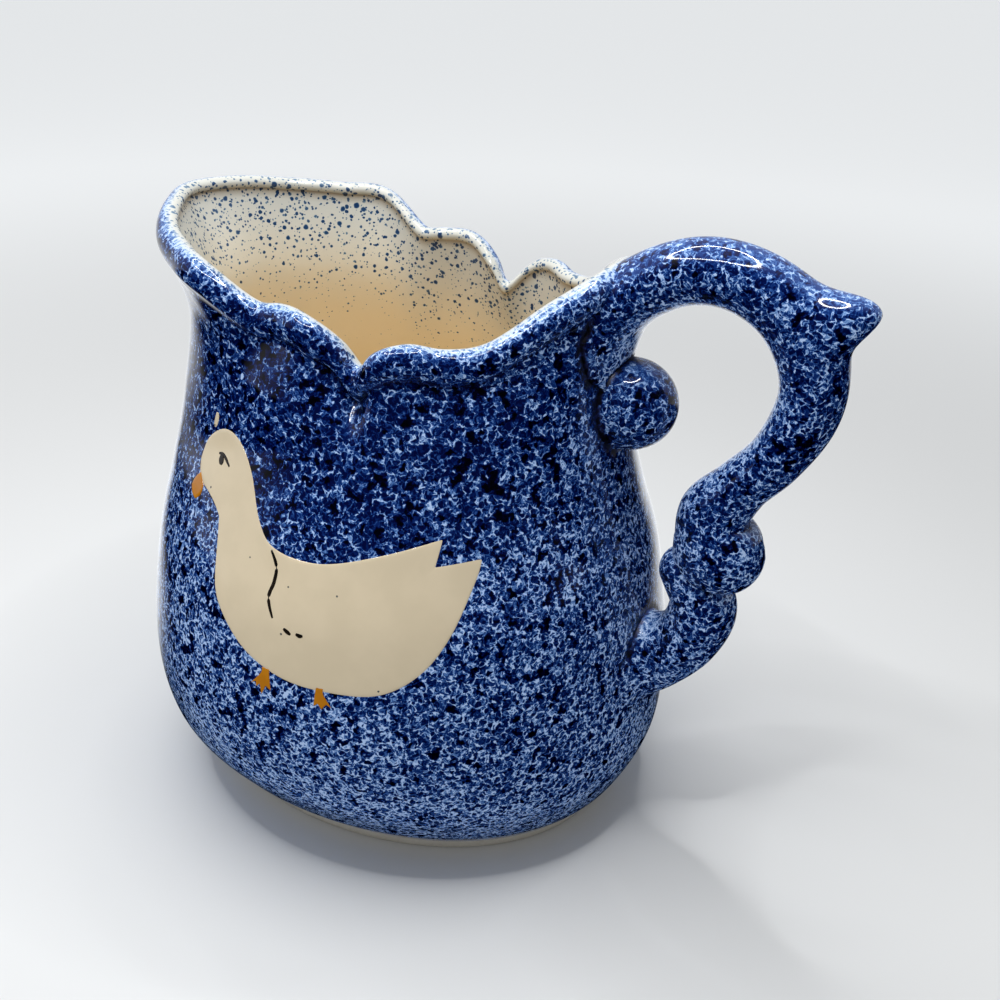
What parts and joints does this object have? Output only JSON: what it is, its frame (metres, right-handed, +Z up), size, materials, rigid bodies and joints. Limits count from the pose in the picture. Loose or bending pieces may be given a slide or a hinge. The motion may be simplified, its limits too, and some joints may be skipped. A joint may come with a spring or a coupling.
{
  "type": "pitcher",
  "caption": "Oval stoneware pitcher with a scalloped rolled rim, broad spout, scrolled handle, sponged blue glaze and a white duck on one side.",
  "frame": {"origin": "on the plane the pitcher stands on, under the middle of its overall length and width, handle included", "axes": "+Z up; the spout points to -X and the handle to +X; the duck is on the -Y side"},
  "size_m": [0.204, 0.151, 0.1799],
  "materials": {
    "sponged_glaze": "clear gloss glaze over dark cobalt blue sponged on a pale ground, cream inside, worn pale on the rim's crest",
    "bare_clay": "bare fired stoneware, matt and faintly gritty",
    "cream_slip": "cream slip under clear gloss glaze",
    "ochre_slip": "ochre slip under clear gloss glaze",
    "black_slip": "brown-black brush strokes under clear gloss glaze"
  },
  "bodies": {
    "root": {"body": "sponged_glaze", "foot_ring": "bare_clay", "handle": "sponged_glaze", "upper_scroll": "sponged_glaze", "lower_scroll": "sponged_glaze", "duck_silhouette": "cream_slip", "duck_eye": "black_slip", "duck_wing_line": "black_slip", "duck_wing_dash_1": "black_slip", "duck_wing_dash_2": "black_slip", "duck_bill": "ochre_slip", "duck_foot_front": "ochre_slip", "duck_foot_rear": "ochre_slip"}
  },
  "joints": []
}
